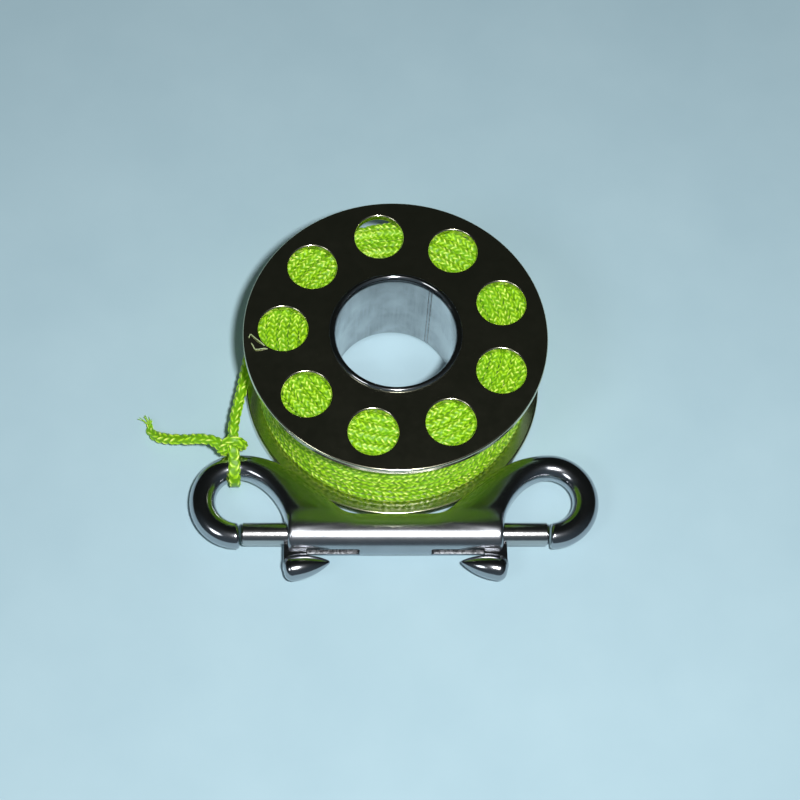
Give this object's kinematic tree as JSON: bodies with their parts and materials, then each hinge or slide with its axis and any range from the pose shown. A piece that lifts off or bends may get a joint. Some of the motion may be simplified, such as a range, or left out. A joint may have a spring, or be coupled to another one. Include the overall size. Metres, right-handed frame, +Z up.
{
  "type": "fishing line spool",
  "caption": "Finger spool with drilled steel flanges and a tube hub, wound with braided line that is tied to a double-ended bolt snap.",
  "frame": {"origin": "on the axis of the finger bore, in the outer face of the lower flange; the table is 0.7 mm below it, where the lip of the hub rests", "axes": "+Z up the spool's axis, +X along the snap's barrel to the right-hand hook, +Y away from the snap"},
  "size_m": [0.112, 0.0923, 0.0284],
  "materials": {
    "flange_steel": "mirror polished stainless steel",
    "tube_steel": "drawn stainless tube, satin inside, polished lips",
    "snap_steel": "cast stainless steel, polished",
    "spring_steel": "drawn spring wire",
    "line": "braided nylon, fluorescent yellow-green"
  },
  "bodies": {
    "snap": {"snap_body": "snap_steel", "left_spring": "spring_steel", "right_spring": "spring_steel", "line_lead": "line", "line_knot": "line", "line_tag": "line"},
    "spool": {"upper_flange": "flange_steel", "lower_flange": "flange_steel", "hub_tube": "tube_steel", "line_winding": "line"},
    "left_gate": {"left_bolt": "snap_steel", "left_knob": "snap_steel"},
    "right_gate": {"right_bolt": "snap_steel", "right_knob": "snap_steel"}
  },
  "joints": [
    {"name": "spool_spin", "type": "hinge", "parent": "snap", "child": "spool", "pos_m": [0, 0, 0.0135], "axis": [0, 0, 1], "continuous": true},
    {"name": "left_gate_slide", "type": "slide", "parent": "snap", "child": "left_gate", "axis": [1, 0, 0], "range_m": [0, 0.012], "stiffness_N_per_m": 500, "springref_m": -0.005, "deforming": ["left_spring"]},
    {"name": "right_gate_slide", "type": "slide", "parent": "snap", "child": "right_gate", "axis": [-1, 0, 0], "range_m": [0, 0.012], "stiffness_N_per_m": 500, "springref_m": -0.005, "deforming": ["right_spring"]}
  ]
}
